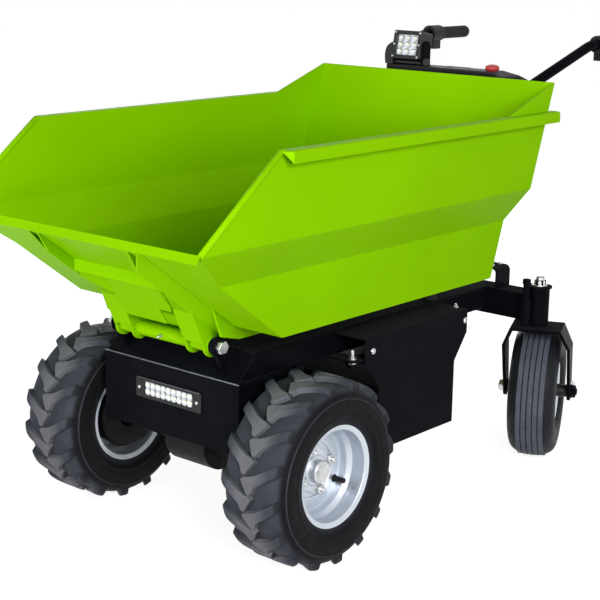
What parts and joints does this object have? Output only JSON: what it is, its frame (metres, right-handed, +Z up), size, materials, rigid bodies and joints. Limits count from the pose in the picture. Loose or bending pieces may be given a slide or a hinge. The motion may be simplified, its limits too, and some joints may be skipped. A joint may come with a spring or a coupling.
{
  "type": "site dumper",
  "caption": "Walk-behind electric site dumper with a forward-tipping open tub, driven front wheels, swivelling rear casters and a handlebar with a console.",
  "frame": {"origin": "on the ground, at the middle of the overall length and width", "axes": "+X forward towards the tub's lip, +Y the machine's left, +Z up"},
  "size_m": [1.726, 0.8092, 1.0482],
  "materials": {
    "tub_paint": "satin powder coat",
    "frame_paint": "satin powder coat",
    "zinc": "zinc plated",
    "wheel_silver": "silver paint",
    "axle_iron": "painted casting",
    "battery_case": "matt",
    "rubber_black": "matt",
    "tyre_black": "matt",
    "black_plastic": "fine grain",
    "lamp_body": "black anodised casting",
    "lamp_lens": "clear",
    "stop_red": "gloss"
  },
  "bodies": {
    "chassis": {"pivot_brackets": "frame_paint", "front_cover": "frame_paint", "frame_rails": "frame_paint", "frame_cross_member": "frame_paint", "rear_beam": "frame_paint", "axle_carriers": "frame_paint", "side_covers": "frame_paint", "battery_tray": "frame_paint", "handle_base": "frame_paint", "handle_tubes": "frame_paint", "console": "frame_paint", "caster_locks": "frame_paint", "work_lamp_bracket": "frame_paint", "hinge_pin": "zinc", "transaxle": "axle_iron", "battery_pack": "battery_case", "rest_buffers": "rubber_black", "grips": "rubber_black", "control_housings": "black_plastic", "console_panel": "black_plastic", "front_lamp_bezel": "black_plastic", "work_lamp_housing": "lamp_body", "front_lamp_lens": "lamp_lens", "work_lamp_lens": "lamp_lens", "stop_button": "stop_red"},
    "tub": {"tub_floor": "tub_paint", "tub_rear_wall": "tub_paint", "tub_side_left": "tub_paint", "tub_side_right": "tub_paint", "tub_lip": "tub_paint", "tub_legs": "tub_paint", "hinge_tube": "tub_paint", "tub_brace": "tub_paint", "tub_cross_bar": "tub_paint", "tub_ribs": "tub_paint"},
    "front_wheel_left": {"front_tyre_left": "tyre_black", "front_rim_left": "wheel_silver"},
    "front_wheel_right": {"front_tyre_right": "tyre_black", "front_rim_right": "wheel_silver"},
    "caster_left": {"caster_fork_left": "frame_paint", "caster_axle_left": "zinc"},
    "caster_right": {"caster_fork_right": "frame_paint", "caster_axle_right": "zinc"},
    "caster_wheel_left": {"caster_tyre_left": "tyre_black", "caster_rim_left": "wheel_silver"},
    "caster_wheel_right": {"caster_tyre_right": "tyre_black", "caster_rim_right": "wheel_silver"}
  },
  "joints": [
    {"name": "tub_tip", "type": "hinge", "parent": "chassis", "child": "tub", "pos_m": [0.584, 0, 0.458], "axis": [0, 1, 0], "range_deg": [0, 80]},
    {"name": "front_wheel_left_spin", "type": "hinge", "parent": "chassis", "child": "front_wheel_left", "pos_m": [0.472, 0.306, 0.2025], "axis": [0, 1, 0], "continuous": true},
    {"name": "caster_left_swivel", "type": "hinge", "parent": "chassis", "child": "caster_left", "pos_m": [-0.379, 0.32, 0.36], "axis": [0, 0, 1], "continuous": true},
    {"name": "caster_wheel_left_spin", "type": "hinge", "parent": "caster_left", "child": "caster_wheel_left", "pos_m": [-0.44244, 0.29042, 0.17], "axis": [-0.4226, 0.9063, 0], "continuous": true},
    {"name": "front_wheel_right_spin", "type": "hinge", "parent": "chassis", "child": "front_wheel_right", "pos_m": [0.472, -0.306, 0.2025], "axis": [0, 1, 0], "continuous": true},
    {"name": "caster_right_swivel", "type": "hinge", "parent": "chassis", "child": "caster_right", "pos_m": [-0.379, -0.32, 0.36], "axis": [0, 0, 1], "continuous": true},
    {"name": "caster_wheel_right_spin", "type": "hinge", "parent": "caster_right", "child": "caster_wheel_right", "pos_m": [-0.44244, -0.29042, 0.17], "axis": [0.4226, 0.9063, 0], "continuous": true}
  ]
}
